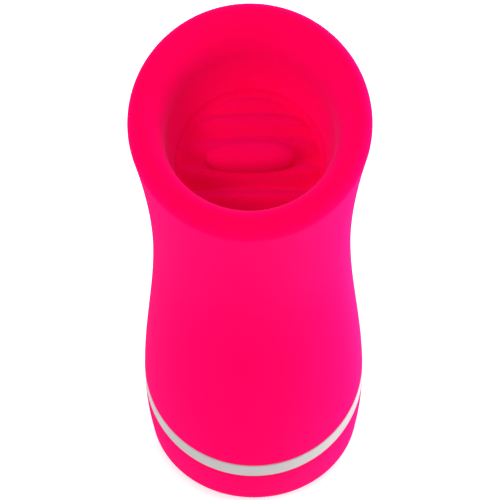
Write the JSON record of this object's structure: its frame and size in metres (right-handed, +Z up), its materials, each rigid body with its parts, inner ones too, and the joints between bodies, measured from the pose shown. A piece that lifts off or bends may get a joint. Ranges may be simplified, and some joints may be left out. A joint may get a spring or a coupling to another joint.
{
  "type": "handheld cup massager",
  "caption": "Hand-held silicone massager with a slanted, thick-lipped cup mouth and a motor-driven tongue that rocks over a pleated floor inside it.",
  "frame": {"origin": "centre of the foot on the plane it stands on", "axes": "+Z up along the body to the mouth, -Y the front that the mouth slants down towards, +X to the right seen from the front"},
  "size_m": [0.055, 0.0552, 0.1259],
  "materials": {
    "silicone": "satin matte, soft",
    "silicone_base": "satin matte, soft",
    "silicone_floor": "satin matte, soft",
    "silicone_tongue": "satin matte, soft",
    "trim": "satin",
    "foot_rubber": "matte",
    "gasket_rubber": "matte",
    "shell_plastic": "moulded",
    "frame_plastic": "moulded",
    "screw_steel": "zinc plated",
    "pin_steel": "ground",
    "bearing_brass": "turned",
    "contact_brass": "stamped",
    "acetal": "machined",
    "motor_steel": "drawn",
    "magnet": "sintered",
    "armature": "wound",
    "cell_steel": "plated",
    "wrap": "shrink film",
    "board": "solder mask",
    "chip": "moulded",
    "board_parts": "ceramic",
    "led": "clear lens",
    "light_pipe": "frosted",
    "switch": "moulded",
    "plunger": "moulded",
    "button": "satin",
    "lead_red": "insulation",
    "lead_black": "insulation"
  },
  "bodies": {
    "housing": {"silicone_sleeve": "silicone", "trim_ring": "trim", "base_cap": "silicone_base", "foot_pad": "foot_rubber", "base_gasket": "gasket_rubber", "shell_front": "shell_plastic", "shell_rear": "shell_plastic", "shell_screws": "screw_steel", "cup_plate": "shell_plastic", "cup_plate_screws": "screw_steel", "bellows": "silicone_floor", "drive_frame": "frame_plastic", "frame_screws": "screw_steel", "pivot_pin": "pin_steel", "pivot_clips": "pin_steel", "gear_axle": "pin_steel", "gear_clip": "pin_steel", "motor_can": "motor_steel", "motor_magnets": "magnet", "motor_end_cap": "frame_plastic", "motor_terminals": "contact_brass", "motor_screws": "screw_steel", "battery_cradle": "frame_plastic", "battery_cell": "cell_steel", "battery_wrap": "wrap", "battery_contacts": "contact_brass", "base_screws": "screw_steel", "main_board": "board", "board_screws": "screw_steel", "controller_chip": "chip", "board_parts": "board_parts", "charge_jack": "frame_plastic", "status_led": "led", "light_pipe": "light_pipe", "power_switch": "switch", "mode_switch": "switch", "motor_lead_red": "lead_red", "motor_lead_black": "lead_black", "battery_lead_red": "lead_red", "battery_lead_black": "lead_black"},
    "crank": {"crank_gear": "acetal", "crank_pin": "pin_steel", "crank_roller": "bearing_brass"},
    "rotor": {"motor_shaft": "pin_steel", "motor_armature": "armature", "motor_pinion": "bearing_brass"},
    "rocker": {"rocker_arm": "acetal", "rocker_bushes": "bearing_brass", "tongue_boot": "silicone_tongue"},
    "power_button": {"power_button": "button", "power_plunger": "plunger"},
    "mode_button": {"mode_button": "button", "mode_plunger": "plunger"}
  },
  "joints": [
    {"name": "crank_turn", "type": "hinge", "parent": "housing", "child": "crank", "pos_m": [0, 0.00494, 0.06778], "axis": [1, 0, 0], "range_deg": [-60, 60]},
    {"name": "rocker_swing", "type": "hinge", "parent": "housing", "child": "rocker", "pos_m": [0, 0.00494, 0.08478], "axis": [1, 0, 0], "range_deg": [-9.5, 9.5], "deforming": ["bellows"]},
    {"name": "motor_spin", "type": "hinge", "parent": "housing", "child": "rotor", "pos_m": [0, 0, 0.05415], "axis": [1, 0, 0], "range_deg": [-190, 190]},
    {"name": "power_press", "type": "slide", "parent": "housing", "child": "power_button", "axis": [0, -1, 0], "range_m": [0, 0.0005], "stiffness_N_per_m": 1500, "springref_m": -0.0006},
    {"name": "mode_press", "type": "slide", "parent": "housing", "child": "mode_button", "axis": [0, -1, 0], "range_m": [0, 0.0005], "stiffness_N_per_m": 1500, "springref_m": -0.0006}
  ],
  "couplings": [
    {"joint": "rocker_swing", "follows": "crank_turn", "ratio": 0.158},
    {"joint": "motor_spin", "follows": "crank_turn", "ratio": -3.1429}
  ]
}
